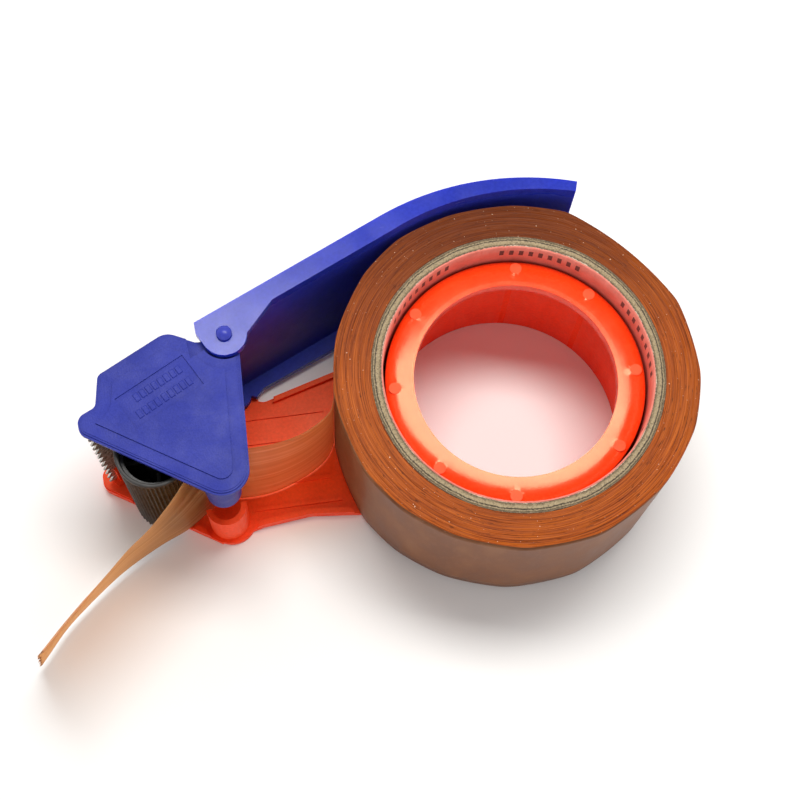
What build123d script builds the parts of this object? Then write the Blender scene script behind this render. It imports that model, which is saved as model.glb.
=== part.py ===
from build123d import *
from math import cos, hypot, pi, radians, sin
import os

# Hand-held tape gun lying on its side: the roll turns about +Z on the hub of the base frame,
# the blade and the feed roller are at -X and the handle bends round the +Y side of the roll.
# The origin is on the hub axis, in the plane of the flat underside. Millimetres.

# ---------------------------------------------------------------- driving dimensions
TAPE_WIDTH = 48.0
TAPE_THICKNESS = 0.3
CORE_BORE_R = 38.0
CORE_R = 41.4
LINER_THICKNESS = 0.5
ROLL_R = 52.2

PLATE = 2.0                 # floor of the base frame
SINK = 0.5                  # how far a feature is let into the floor it stands on
COVER_SINK = 0.3            # and into the cover that it hangs from
PAST = 1.0                  # how far a cutter runs past the face it cuts
ROLL_GAP = 0.8              # under the roll
TAPE_BOTTOM = PLATE + ROLL_GAP
TAPE_TOP = TAPE_BOTTOM + TAPE_WIDTH

HUB_R_TOP = 37.2
HUB_R_FOOT = 37.6
HUB_BORE_R = 36.1
HUB_TOP = 44.0
HUB_FLANGE = 3.4
HUB_HOLE_R = 29.1
HUB_CROWN_R = 30.4          # the flange's top falls away outward from here
HUB_CROWN_DROP = 1.7
HUB_FOOTING = 4.4           # ring of floor that the hub's wall stands on
MARK_ANGLES = (-3.0, 42.0, 80.0, 137.0)   # and the same again half a turn on
MARK_CIRCLE_R = 34.6
MARK_R = 1.7
MARK_TOP = HUB_TOP - 0.1
MARK_DEPTH = 0.8

COVER_BOTTOM = 51.1
COVER_TOP = 52.9
COVER_PANEL = 0.45          # raised panel inside the border
COVER_BORDER = 4.4
COVER_STEPS = ((0.0, 0.6), (0.6, 0.2), (1.1, 0.0))   # rounded edge: (inset, below the top)
LABEL_DEPTH = 0.35
LABEL_SIZE = (22.0, 10.6)
LABEL_PLACE = (-99.3, 6.1)
LABEL_ANGLE = 28.6
SEAT_GAP = 0.6              # round the handle's upper ear
SEAT_SWING_R = 11.5         # room for the ear's tail
PANEL_GAP = 3.6             # between that ear and the raised panel
TAB_TOP = 51.7              # lowered seat under the handle's upper ear
TAB_BOTTOM = 48.9

HINGE = (-80.0, 20.2)
PIN_R = 1.7
EAR_R = 6.3
EAR_R_LOW = 4.4             # the lower ear is smaller
EAR_THICKNESS = 2.3
EAR_GAP = 0.4
EAR_LEAD = 6.0              # how far the ear's neck slopes along the handle
EAR_LEAD_LOW = 3.0
EAR_JOIN = 16.0             # the neck ends here along the handle
EAR_TAIL = (-87.8, 21.4)    # inner corner of the tail that stops the swing
PIN_FIT = 0.06              # running clearance of the ears on the pin
PRESS_FIT = 0.01            # of the pin in the frame and the cover
PIN_BOTTOM = 0.3
PIN_HEAD_R = 2.2
PIN_HEAD = 1.7
CLIP_R = 3.4
CLIP_THICKNESS = 0.8
CLIP_BOTTOM = 0.35
CLIP_WELL = 1.2
CLIP_GAP = 0.3

HANDLE_TOP = TAB_TOP + EAR_GAP + EAR_THICKNESS
HANDLE_BOTTOM = PLATE + 0.8
HANDLE_WALL = 2.2
HANDLE_RIM = 3.0
HANDLE_ANGLE = 25.0         # slope of the straight length
HANDLE_START = (-88.0, 24.7)
WEB_START = 13.5            # the web begins here beside the cover
WEB_START_LOW = 1.5         # and here below the cover
HANDLE_STRAIGHT = 62.0
HANDLE_BEND_R = 80.0
HANDLE_SWEEP = 43.0
RIM_WIDTH = 5.7
RIM_WIDTH_TIP = 3.2
LOW_WEB_GAP = 0.7           # under the cover's tab
LEDGE = ((-77.4, 23.6), (-76.3, 20.0), (-73.9, 18.9), (-71.5, 21.6), (-48.5, 31.6), (-41.0, 37.2))
LEDGE_SPAN = ((-61.0, 29.0), (42.0, 24.0))   # centre and size of the box that ends the ledge
STIFFENERS = (24.0, 42.0, 60.0)              # places along the handle
STIFFENER_WIDTH = 1.6
STIFFENER_INSET = 0.4

ROLLER = (-102.9, -8.9)
ROLLER_R = 10.7
ROLLER_BOTTOM = 3.2
ROLLER_TOP = 49.2
SLEEVE_WALL = 1.1
ROLLER_TUBE_WALL = 1.1
ROLLER_TUBE_TOP = ROLLER_TOP - 2.6
ROLLER_HUB_R = 3.8
ROLLER_DISC = (24.0, 26.0)  # web inside the tube, half way up
SPOKE_WIDTH = 1.2
SPOKE_BOTTOM = 10.0
SPOKE_TOP = ROLLER_TOP - 9.0
AXLE_R = 2.0
AXLE_FIT = 0.06
AXLE_BOTTOM = 0.85
AXLE_TOP = COVER_BOTTOM + 0.5
SOCKET_FIT = 0.02
LOW_BOSS_R = 4.4
HIGH_BOSS_R = 3.6
BOSS_GAP = 0.6              # between a boss and the roller, for the washer
WASHER_R = 3.4
WASHER_THICKNESS = 0.4
WASHER_GAP = 0.15
RIB_COUNT = 52
RIB_DEPTH = 0.45
RIB_BAND = 2.0              # smooth band at each end of the sleeve
GROOVE_SHARE = 0.45         # of the pitch of the ribs

GUIDE = (-85.8, -18.3)      # axis of the guide post
CUP = (-86.4, -18.3)        # axis of the cup below it
CUP_R = 5.95
CUP_WALL = 1.6
CUP_TOP = 18.5
POST_R_TOP = 5.6
POST_R_END = 4.9
POST_END = 33.0
CUP_TURN = 6.0              # degrees that the cup's mouth is turned
GUIDE_PAD_R = 7.2
POST_BORE_R = 2.0
POST_BORE_DEPTH = 9.0

BLADE_TIP = (-120.4, -2.9)
BLADE_ANGLE = 40.0
BLADE_LENGTH = 13.0
BLADE_THICKNESS = 0.6
BLADE_BOTTOM = 5.2
BLADE_TOP = 50.3
TOOTH_PITCH = 3.5
TOOTH_DEPTH = 1.7
RIVET_R = 1.3
RIVET_HEIGHTS = (18.0, 41.0)
RIVET_SET_BACK = 7.8
RIVET_HEAD_R = 2.34
RIVET_TAIL_R = 2.08
RIVET_CAP = 0.6             # thickness of a head or tail

SCREW_PLACES = ((-104.0, 12.2), (-91.5, 12.6))
PILLAR_R = 3.6
SCREW_R = 1.5
SCREW_HEAD_R = 2.7
SCREW_HEAD = 1.5
SCREW_LENGTH = 12.0
SCREW_GAP = 0.2
SLOT = (3.4, 0.7)
SLOT_DEPTH = 0.6
PILLAR_FOOT_R = 5.0
PILLAR_FOOT = 1.0


# ---------------------------------------------------------------- helpers
def slab(face, bottom, top):
    """A flat face drawn at z=0, extruded between two heights."""
    return extrude(Pos(0, 0, bottom) * face, top - bottom)


def tube(place, outer, inner, bottom, top):
    ring = Circle(outer) - Circle(inner) if inner else Circle(outer)
    return Pos(place[0], place[1], 0) * slab(ring, bottom, top)


def disc(place, radius, bottom, top):
    return tube(place, radius, 0, bottom, top)


def outline(corners):
    """A closed outline from (x, y, radius) corners, rounded where the radius isn't zero."""
    face = make_face(Polyline([(x, y) for x, y, r in corners], close=True))
    for x, y, r in corners:
        if r:
            corner = face.vertices().sort_by_distance((x, y, 0))[0]
            face = fillet(corner, r)
    return face


def polar(centre, radius, angle):
    return (centre[0] + radius * cos(radians(angle)), centre[1] + radius * sin(radians(angle)))


def strip(path, thickness, bottom, top):
    """An upright sheet along a plan path: a spline each side of the middle points."""
    sides = ([], [])
    for i, (x, y) in enumerate(path):
        before = path[max(i - 1, 0)]
        after = path[min(i + 1, len(path) - 1)]
        along = hypot(after[0] - before[0], after[1] - before[1])
        nx, ny = -(after[1] - before[1]) / along, (after[0] - before[0]) / along
        for side, sign in zip(sides, (1, -1)):
            side.append((x + sign * nx * thickness / 2, y + sign * ny * thickness / 2))
    edges = [Spline(*sides[0]), Spline(*sides[1])]
    edges += [Line(sides[0][0], sides[1][0]), Line(sides[0][-1], sides[1][-1])]
    return slab(make_face(edges), bottom, top)


# ---------------------------------------------------------------- base frame
BASE_CORNERS = [
    (-116.0, 13.2, 3.0), (-117.2, 4.6, 2.0), (-123.2, 1.8, 3.0), (-122.8, -3.6, 3.0),
    (-89.4, -24.9, 0), (-76.5, -21.5, 6.0), (-62.0, -20.0, 12.0), (-38.0, -22.5, 0),
    (-30.0, 0.0, 0), (-40.0, 27.3, 0), (-72.0, 18.0, 3.0), (-76.0, 19.5, 0),
    (-88.0, 20.0, 0), (-96.2, 23.6, 5.0),
]
RIB_LINES = ((13.0, -79.0, -54.0), (5.0, -79.0, -56.0), (-8.6, -72.0, -54.5), (-16.2, -78.5, -52.0))
RIB_WIDTH = 1.1
RIB_RISE = 0.5
RIM_HEIGHT = 3.6
RIM_THICKNESS = 1.6
TIP_END = -111.5            # the tip is solid from here outward
TIP_TOP = 4.6
TIP_INSET = 0.3
# Blocks round the blade, set from its teeth: (along, across, first along, first across).
BLADE_SEAT = (6.5, 4.6, 0.9, -2.3)
BLADE_GUARD = (5.4, 1.3, 2.6, -1.35)
BLADE_BACK = (BLADE_LENGTH - 4.2, 1.8, 4.2, BLADE_THICKNESS)
SEAT_TOP = BLADE_BOTTOM - 0.1
GUARD_TOP = 13.5
BACK_TOP = BLADE_TOP - 0.6
# What the raised rim keeps clear of: (centre, radius).
RIM_CLEAR = [
    (HINGE, EAR_R + 5.0), ((0, 0), ROLL_R + 1.2), (GUIDE, CUP_R + 2.25), (ROLLER, ROLLER_R + 1.2),
]


def hub():
    """Drafted wall with an inward flange that is crowned on top, turned about Z."""
    flange_bottom = HUB_TOP - HUB_FLANGE
    shoulder = HUB_TOP - HUB_CROWN_DROP
    fall = []
    for a in range(0, 91, 15):
        reach = (HUB_R_TOP - HUB_CROWN_R) * sin(radians(a))
        fall.append((HUB_CROWN_R + reach, shoulder + HUB_CROWN_DROP * cos(radians(a))))
    crown = Spline(*fall, tangents=[(1, 0), (0, -1)])
    section = [
        (HUB_CROWN_R, HUB_TOP), (HUB_HOLE_R, HUB_TOP), (HUB_HOLE_R, flange_bottom),
        (HUB_BORE_R, flange_bottom), (HUB_BORE_R, 0), (HUB_R_FOOT + HUB_FOOTING, 0),
        (HUB_R_FOOT + HUB_FOOTING, PLATE), (HUB_R_FOOT, PLATE), (HUB_R_TOP, shoulder),
    ]
    solid = revolve(Plane.XZ * make_face([crown, Polyline(section)]), Axis.Z)
    for angle in MARK_ANGLES:
        for turn in (0, 180):
            spot = polar((0, 0), MARK_CIRCLE_R, angle + turn)
            solid += disc(spot, MARK_R, MARK_TOP - MARK_DEPTH, MARK_TOP)
    return solid


def cup():
    """Half tube open to +Y, turned a little, round the end of the guide post."""
    ring = Circle(CUP_R) - Circle(CUP_R - CUP_WALL)
    half = ring & Pos(0, -CUP_R, 0) * Rectangle(2 * CUP_R, 2 * CUP_R)
    solid = slab(half, PLATE - SINK, CUP_TOP)
    return Pos(CUP[0], CUP[1], 0) * Rot(0, 0, CUP_TURN) * solid


def blade_block(size, top):
    """A block standing on the floor, set along the blade's own direction."""
    along, across, start, shift = size
    plan = Pos(start + along / 2, shift + across / 2, 0) * Rectangle(along, across)
    return Pos(BLADE_TIP[0], BLADE_TIP[1], 0) * Rot(0, 0, BLADE_ANGLE) * slab(plan, PLATE - SINK, top)


def base_frame():
    floor = outline(BASE_CORNERS)
    floor += Pos(GUIDE[0], GUIDE[1], 0) * Circle(GUIDE_PAD_R) + Pos(HINGE[0], HINGE[1], 0) * Circle(EAR_R)
    rim = floor - offset(floor, -RIM_THICKNESS)
    for place, radius in RIM_CLEAR:
        rim -= Pos(place[0], place[1], 0) * Circle(radius)
    solid = slab(floor, 0, PLATE) - disc((0, 0), HUB_R_FOOT, -PAST, PLATE + PAST)
    solid = solid + hub() + slab(rim, PLATE - SINK, RIM_HEIGHT) + cup()
    for y, x0, x1 in RIB_LINES:
        rib = Pos((x0 + x1) / 2, y, 0) * Rectangle(x1 - x0, RIB_WIDTH)
        solid += slab(rib, PLATE - SINK, PLATE + RIB_RISE)
    # solid tip, then the seat, the front guard and the back wall of the blade
    beyond = Pos(TIP_END, 0, 0) * Rectangle(20, 20, align=(Align.MAX, Align.CENTER))
    tip = offset(floor, -TIP_INSET) & beyond
    solid += slab(tip - Pos(ROLLER[0], ROLLER[1], 0) * Circle(ROLLER_R + 1.0), PLATE - SINK, TIP_TOP)
    for size, top in ((BLADE_SEAT, SEAT_TOP), (BLADE_GUARD, GUARD_TOP), (BLADE_BACK, BACK_TOP)):
        solid += blade_block(size, top)
    for z in RIVET_HEIGHTS:
        solid -= rivet_hole(z)
    # roller boss, axle socket, screw holes and hinge hole
    solid += disc(ROLLER, LOW_BOSS_R, PLATE - SINK, ROLLER_BOTTOM - BOSS_GAP)
    solid -= disc(ROLLER, AXLE_R + SOCKET_FIT, AXLE_BOTTOM - 0.05, ROLLER_BOTTOM)
    for place in SCREW_PLACES:
        solid += disc(place, PILLAR_FOOT_R, PLATE - SINK, PLATE + PILLAR_FOOT)
        solid -= disc(place, SCREW_R + SCREW_GAP, -PAST, PLATE + PILLAR_FOOT + PAST)
        solid -= disc(place, SCREW_HEAD_R + SCREW_GAP + 0.1, -PAST, SCREW_HEAD)
    solid -= disc(HINGE, PIN_R + PRESS_FIT, -PAST, PLATE + PAST)
    solid -= disc(HINGE, CLIP_R + CLIP_GAP, -PAST, CLIP_WELL)
    return solid


# ---------------------------------------------------------------- cover plate
COVER_CORNERS = [
    (-115.7, 13.4, 2.2), (-117.0, 4.3, 2.0), (-122.2, 1.8, 3.0), (-121.7, -3.0, 3.0),
    (-77.9, -31.1, 7.3), (-76.3, 19.0, 0), (-88.4, 19.9, 0), (-96.2, 23.7, 5.0),
]


# Plan, from the hinge, of the sector that the ear's tail sweeps.
SWING_CORNERS = [(0, 0), (-10.0, -5.6), (-12.0, 12.0), (2.0, 12.0)]


def cover_plate():
    plan = outline(COVER_CORNERS) + Pos(HINGE[0], HINGE[1], 0) * Circle(EAR_R - 0.2)
    body = slab(plan, COVER_BOTTOM, COVER_TOP - COVER_STEPS[0][1])
    for inset, drop in COVER_STEPS[1:]:
        body += slab(offset(plan, -inset), COVER_TOP - 1.0, COVER_TOP - drop)
    panel = offset(outline(COVER_CORNERS), -COVER_BORDER)
    panel -= Pos(HINGE[0], HINGE[1], 0) * Circle(EAR_R + PANEL_GAP)
    body += slab(panel, COVER_TOP - SINK, COVER_TOP + COVER_PANEL)
    label = Pos(LABEL_PLACE[0], LABEL_PLACE[1], 0) * Rot(0, 0, LABEL_ANGLE) * Rectangle(*LABEL_SIZE)
    body -= slab(label, COVER_TOP + COVER_PANEL - LABEL_DEPTH, COVER_TOP + COVER_PANEL + PAST)
    # seat of the handle's upper ear, with room for the ear's tail as it swings
    swing = make_face(Polyline(SWING_CORNERS, close=True))
    seat = Circle(EAR_R + SEAT_GAP) + (swing & Circle(SEAT_SWING_R))
    body -= Pos(HINGE[0], HINGE[1], 0) * slab(seat, TAB_TOP, COVER_TOP + COVER_PANEL + PAST)
    body += disc(HINGE, EAR_R - 0.8, TAB_BOTTOM, COVER_BOTTOM + COVER_SINK)
    body -= disc(HINGE, PIN_R + PRESS_FIT, TAB_BOTTOM - PAST, COVER_TOP + PAST)
    # roller axle socket, guide post and screw pillars
    body += disc(ROLLER, HIGH_BOSS_R, ROLLER_TOP + BOSS_GAP, COVER_BOTTOM + COVER_SINK)
    body -= disc(ROLLER, AXLE_R + SOCKET_FIT, ROLLER_TOP - PAST, AXLE_TOP + 0.1)
    upward = (Align.CENTER, Align.CENTER, Align.MIN)
    post = Cone(POST_R_END, POST_R_TOP, COVER_BOTTOM - POST_END + COVER_SINK, align=upward)
    body += Pos(GUIDE[0], GUIDE[1], POST_END) * post
    body -= disc(GUIDE, POST_BORE_R, POST_END - PAST, POST_END + POST_BORE_DEPTH)
    for place in SCREW_PLACES:
        body += disc(place, PILLAR_R, PLATE + PILLAR_FOOT + 0.05, COVER_BOTTOM + COVER_SINK)
        body -= disc(place, SCREW_R, PLATE, PLATE + SCREW_LENGTH)
    return body


# ---------------------------------------------------------------- handle
def handle_line(shift, taper_to=None):
    """Plan points of the handle, shifted inwards from its outer line."""
    ux, uy = cos(radians(HANDLE_ANGLE)), sin(radians(HANDLE_ANGLE))
    points = []
    for s in (WEB_START, HANDLE_STRAIGHT):
        points.append((HANDLE_START[0] + s * ux + shift * uy, HANDLE_START[1] + s * uy - shift * ux))
    bend = (HANDLE_START[0] + HANDLE_STRAIGHT * ux + HANDLE_BEND_R * uy,
            HANDLE_START[1] + HANDLE_STRAIGHT * uy - HANDLE_BEND_R * ux)
    end_shift = shift if taper_to is None else taper_to
    for part in (0.5, 1.0):
        inset = shift + (end_shift - shift) * part
        points.append(polar(bend, HANDLE_BEND_R - inset, 90 + HANDLE_ANGLE - HANDLE_SWEEP * part))
    return points


def handle_band(outer, inner):
    """The plan area between two handle lines."""
    edges = [Line(outer[0], outer[1]), ThreePointArc(*outer[1:])]
    edges += [Line(inner[0], inner[1]), ThreePointArc(*inner[1:])]
    edges += [Line(outer[0], inner[0]), Line(outer[-1], inner[-1])]
    return make_face(edges)


def ear(bottom, top, lead, radius):
    """Round ear on the hinge, joined to the strip, with a short tail that stops the swing."""
    ux, uy = cos(radians(HANDLE_ANGLE)), sin(radians(HANDLE_ANGLE))
    join = (HANDLE_START[0] + EAR_JOIN * ux, HANDLE_START[1] + EAR_JOIN * uy)
    inner = (join[0] + RIM_WIDTH * uy + lead * ux, join[1] - RIM_WIDTH * ux + lead * uy)
    right, left = polar(HINGE, radius, -4), polar(HINGE, radius, 208)
    plan = make_face(Polyline([HANDLE_START, join, inner, right, HINGE, left, EAR_TAIL], close=True))
    plan += Pos(HINGE[0], HINGE[1], 0) * Circle(radius)
    return slab(plan, bottom, top) - disc(HINGE, PIN_R + PIN_FIT, bottom - PAST, top + PAST)


def beside_handle(face, bottom, top):
    """A slab drawn along the handle's straight length, from its start."""
    return Pos(HANDLE_START[0], HANDLE_START[1], 0) * Rot(0, 0, HANDLE_ANGLE) * slab(face, bottom, top)


def handle():
    outer = handle_line(0.0)
    inner = handle_line(RIM_WIDTH, RIM_WIDTH_TIP)
    web = handle_line(RIM_WIDTH - HANDLE_WALL, RIM_WIDTH_TIP - HANDLE_WALL)
    rim = handle_band(outer, inner)
    foot_top = HANDLE_BOTTOM + EAR_THICKNESS
    solid = slab(handle_band(web, inner), HANDLE_BOTTOM, HANDLE_TOP)
    reach = WEB_START + 1.0 - WEB_START_LOW
    low_web = Pos(WEB_START_LOW + reach / 2, -RIM_WIDTH + HANDLE_WALL / 2, 0) * Rectangle(reach, HANDLE_WALL)
    solid += beside_handle(low_web, HANDLE_BOTTOM, TAB_BOTTOM - LOW_WEB_GAP)
    solid += slab(rim, HANDLE_TOP - HANDLE_RIM, HANDLE_TOP)
    solid += slab(rim, HANDLE_BOTTOM, foot_top)
    # narrow inward ledge along the foot, dying out before the roll
    ledge = make_face(Polyline([inner[0], *LEDGE, inner[1]], close=True))
    (x, y), (width, depth) = LEDGE_SPAN
    solid += slab(ledge & Pos(x, y, 0) * Rectangle(width, depth), HANDLE_BOTTOM, foot_top)
    solid += ear(HANDLE_TOP - EAR_THICKNESS, HANDLE_TOP, EAR_LEAD, EAR_R)
    solid += ear(HANDLE_BOTTOM, foot_top, EAR_LEAD_LOW, EAR_R_LOW)
    # stiffening ribs between the two rims, outside the web
    across = RIM_WIDTH - HANDLE_WALL
    for s in STIFFENERS:
        rib = Rectangle(STIFFENER_WIDTH, across - STIFFENER_INSET)
        rib = Pos(s, -(STIFFENER_INSET + across) / 2, 0) * rib
        solid += beside_handle(rib, HANDLE_BOTTOM, HANDLE_TOP - 1.0)
    return solid


# ---------------------------------------------------------------- hinge hardware
def hinge_pin():
    shaft = disc(HINGE, PIN_R, PIN_BOTTOM, HANDLE_TOP + EAR_GAP / 2)
    ball_r = 1.25 * PIN_HEAD_R
    dome = Pos(0, 0, PIN_HEAD - ball_r) * Sphere(ball_r) & slab(Circle(PIN_HEAD_R), 0, PIN_HEAD + PAST)
    return shaft + Pos(HINGE[0], HINGE[1], HANDLE_TOP + EAR_GAP / 2) * dome


def hinge_pin_clip():
    return tube(HINGE, CLIP_R, PIN_R, CLIP_BOTTOM, CLIP_BOTTOM + CLIP_THICKNESS)


# ---------------------------------------------------------------- feed roller
def roller_axle():
    return disc(ROLLER, AXLE_R, AXLE_BOTTOM, AXLE_TOP)


def roller_core():
    outer = ROLLER_R - SLEEVE_WALL
    solid = tube(ROLLER, outer, outer - ROLLER_TUBE_WALL, ROLLER_BOTTOM, ROLLER_TUBE_TOP)
    solid += disc(ROLLER, ROLLER_HUB_R, ROLLER_BOTTOM, ROLLER_TOP)
    solid += disc(ROLLER, outer - 0.5, *ROLLER_DISC)
    first, last = ROLLER_HUB_R - 0.7, outer - 0.1
    fin = Pos((first + last) / 2, 0, 0) * Rectangle(last - first, SPOKE_WIDTH)
    for k in range(4):
        spoke = slab(fin, SPOKE_BOTTOM, SPOKE_TOP)
        solid += Pos(ROLLER[0], ROLLER[1], 0) * Rot(0, 0, 90.0 * k) * spoke
    return solid - disc(ROLLER, AXLE_R + AXLE_FIT, 0, ROLLER_TOP + PAST)


def roller_sleeve():
    """Rubber sleeve with axial grooves between two smooth end bands."""
    inner = ROLLER_R - SLEEVE_WALL
    ring = Circle(ROLLER_R) - Circle(inner)
    pitch = 2 * pi * ROLLER_R / RIB_COUNT
    groove = Pos(ROLLER_R, 0, 0) * Rectangle(2 * RIB_DEPTH, pitch * GROOVE_SHARE)
    cutters = [Rot(0, 0, 360.0 * k / RIB_COUNT) * groove for k in range(RIB_COUNT)]
    grooved = ring - cutters
    solid = slab(grooved, ROLLER_BOTTOM + RIB_BAND, ROLLER_TOP - RIB_BAND)
    solid += slab(ring, ROLLER_BOTTOM, ROLLER_BOTTOM + RIB_BAND)
    solid += slab(ring, ROLLER_TOP - RIB_BAND, ROLLER_TOP)
    return Pos(ROLLER[0], ROLLER[1], 0) * solid


def roller_washers():
    rings = []
    for bottom in (ROLLER_BOTTOM - WASHER_GAP - WASHER_THICKNESS, ROLLER_TOP + WASHER_GAP):
        rings.append(tube(ROLLER, WASHER_R, AXLE_R + AXLE_FIT, bottom, bottom + WASHER_THICKNESS))
    return Compound(rings)


# ---------------------------------------------------------------- blade
def across_blade(height, radius, first, last):
    """A cylinder across the blade at one height, between two distances from its front."""
    centre = Pos(RIVET_SET_BACK, (first + last) / 2, height)
    pin = centre * Rot(-90, 0, 0) * Cylinder(radius, last - first)
    return Pos(BLADE_TIP[0], BLADE_TIP[1], 0) * Rot(0, 0, BLADE_ANGLE) * pin


def rivet_hole(height):
    return across_blade(height, RIVET_R, -10.0, 10.0)


def blade():
    count = int((BLADE_TOP - BLADE_BOTTOM) / TOOTH_PITCH)
    pitch = (BLADE_TOP - BLADE_BOTTOM) / count
    edge = [(TOOTH_DEPTH, BLADE_BOTTOM)]
    for k in range(count):
        edge.append((0.0, BLADE_BOTTOM + (k + 0.5) * pitch))
        edge.append((TOOTH_DEPTH, BLADE_BOTTOM + (k + 1) * pitch))
    edge += [(BLADE_LENGTH, BLADE_TOP), (BLADE_LENGTH, BLADE_BOTTOM)]
    face = make_face(Plane.XZ * Polyline(edge, close=True))
    sheet = extrude(face, BLADE_THICKNESS, dir=(0, 1, 0))
    placed = Pos(BLADE_TIP[0], BLADE_TIP[1], 0) * Rot(0, 0, BLADE_ANGLE) * sheet
    for z in RIVET_HEIGHTS:
        placed -= rivet_hole(z)
    return placed


def blade_rivets():
    back = BLADE_THICKNESS + BLADE_BACK[1]
    rivets = []
    for z in RIVET_HEIGHTS:
        shank = across_blade(z, RIVET_R, -RIVET_CAP, back + RIVET_CAP)
        head = across_blade(z, RIVET_HEAD_R, -RIVET_CAP - 0.02, -0.02)
        tail = across_blade(z, RIVET_TAIL_R, back + 0.02, back + 0.02 + RIVET_CAP)
        rivets.append(shank + head + tail)
    return Compound(rivets)


# ---------------------------------------------------------------- cover screws
def cover_screws():
    screws = []
    cross = Rectangle(*SLOT) + Rectangle(*reversed(SLOT))
    for place in SCREW_PLACES:
        head = disc(place, SCREW_HEAD_R, SCREW_GAP, SCREW_HEAD - 0.02)
        slot = Pos(place[0], place[1], 0) * slab(cross, 0, SCREW_GAP + SLOT_DEPTH)
        shank = disc(place, SCREW_R - SOCKET_FIT, SCREW_HEAD - 0.1, PLATE + SCREW_LENGTH - 1.0)
        screws.append(head + shank - slot)
    return Compound(screws)


# ---------------------------------------------------------------- tape
def tape_core():
    return tube((0, 0), CORE_R, CORE_BORE_R + LINER_THICKNESS, TAPE_BOTTOM, TAPE_TOP)


def core_liner():
    return tube((0, 0), CORE_BORE_R + LINER_THICKNESS, CORE_BORE_R, TAPE_BOTTOM, TAPE_TOP)


def tape_winding():
    return tube((0, 0), ROLL_R, CORE_R, TAPE_BOTTOM, TAPE_TOP)


WEB_PATH = [
    (-52.8, 1.5), (-53.6, -3.2), (-56.6, -6.8), (-61.5, -9.2), (-68.0, -11.0),
    (-75.5, -11.8), (-82.5, -12.1), (-88.0, -12.7), (-92.3, -15.4), (-95.6, -19.0),
]
TAIL_PATH = [
    (-96.3, -19.7), (-103.0, -24.9), (-112.0, -31.8), (-121.5, -40.3), (-130.0, -48.6), (-140.0, -58.2),
]


def tape_web():
    return strip(WEB_PATH, TAPE_THICKNESS, TAPE_BOTTOM, TAPE_TOP)


def tape_tail():
    return strip(TAIL_PATH, TAPE_THICKNESS, TAPE_BOTTOM, TAPE_TOP)


# ---------------------------------------------------------------- writing
NODES = [
    base_frame, cover_plate, handle, hinge_pin, hinge_pin_clip, roller_axle, roller_core,
    roller_sleeve, roller_washers, blade, blade_rivets, cover_screws, tape_core, core_liner,
    tape_winding, tape_web, tape_tail,
]

os.makedirs("parts", exist_ok=True)
for make in NODES:
    export_step(make(), f"parts/{make.__name__}.step")
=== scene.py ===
"""Hand-held tape gun lying on its side with a roll of brown packing tape on its hub.

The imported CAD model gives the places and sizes. The hard parts keep their CAD meshes with rounded
edges. The roll with its core and liner, the feed roller's sleeve and the loose film are remade here
in finer meshes, and plain raised bars are added on the cover.
"""

import math
import random

import bpy
from mathutils import Matrix, Vector, noise


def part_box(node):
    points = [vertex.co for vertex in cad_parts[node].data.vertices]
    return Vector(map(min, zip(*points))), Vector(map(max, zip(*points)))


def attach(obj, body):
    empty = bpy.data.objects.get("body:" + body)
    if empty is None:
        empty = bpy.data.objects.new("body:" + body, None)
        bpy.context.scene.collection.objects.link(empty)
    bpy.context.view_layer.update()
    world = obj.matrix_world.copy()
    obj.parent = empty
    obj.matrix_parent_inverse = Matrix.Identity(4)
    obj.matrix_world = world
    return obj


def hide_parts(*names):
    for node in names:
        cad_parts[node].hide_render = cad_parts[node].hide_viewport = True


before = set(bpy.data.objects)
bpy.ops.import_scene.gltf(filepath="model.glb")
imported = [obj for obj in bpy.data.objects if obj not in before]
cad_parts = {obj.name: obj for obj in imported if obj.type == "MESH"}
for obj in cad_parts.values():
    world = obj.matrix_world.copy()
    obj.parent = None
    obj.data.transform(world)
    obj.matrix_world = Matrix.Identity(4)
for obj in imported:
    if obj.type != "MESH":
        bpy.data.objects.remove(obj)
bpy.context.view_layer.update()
MM = 0.001
FULL_TURN = 2 * math.pi
random.seed(7)


# ---------------------------------------------------------------- sizes read from the frame
def span(node):
    """Centre in plan, outer radius, lowest and highest point of a round CAD node."""
    low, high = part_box(node)
    centre = Vector(((low.x + high.x) / 2, (low.y + high.y) / 2))
    return centre, (high.x - low.x) / 2, low.z, high.z


ROLL_R, TAPE_BOTTOM, TAPE_TOP = span("tape_winding")[1:]
TAPE_WIDTH = TAPE_TOP - TAPE_BOTTOM
CORE_R = span("tape_core")[1]
LINER_R = span("core_liner")[1]
ROLLER_CENTRE, ROLLER_R, ROLLER_BOTTOM, ROLLER_TOP = span("roller_sleeve")
SLEEVE_INNER_R = span("roller_core")[1]


# ---------------------------------------------------------------- camera, lights and floor
TARGET = Vector((-33.3, -0.5, 40.0)) * MM
CAMERA_DISTANCE = 398 * MM
CAMERA_AZIMUTH = math.radians(-14.5)
CAMERA_ELEVATION = math.radians(69.78)
CAMERA_ROLL = math.radians(6.32)
LENS = 63.0
SENSOR_WIDTH = 36.0
FLOOR_SIZE = 8.0
FLOOR_DROP = 0.1 * MM
# The studio's brightness by the sine of the height above the horizon.
SURROUNDINGS = ((0.0, 0.88), (0.45, 0.88), (0.72, 0.60), (0.86, 0.28), (1.0, 0.22))


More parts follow.
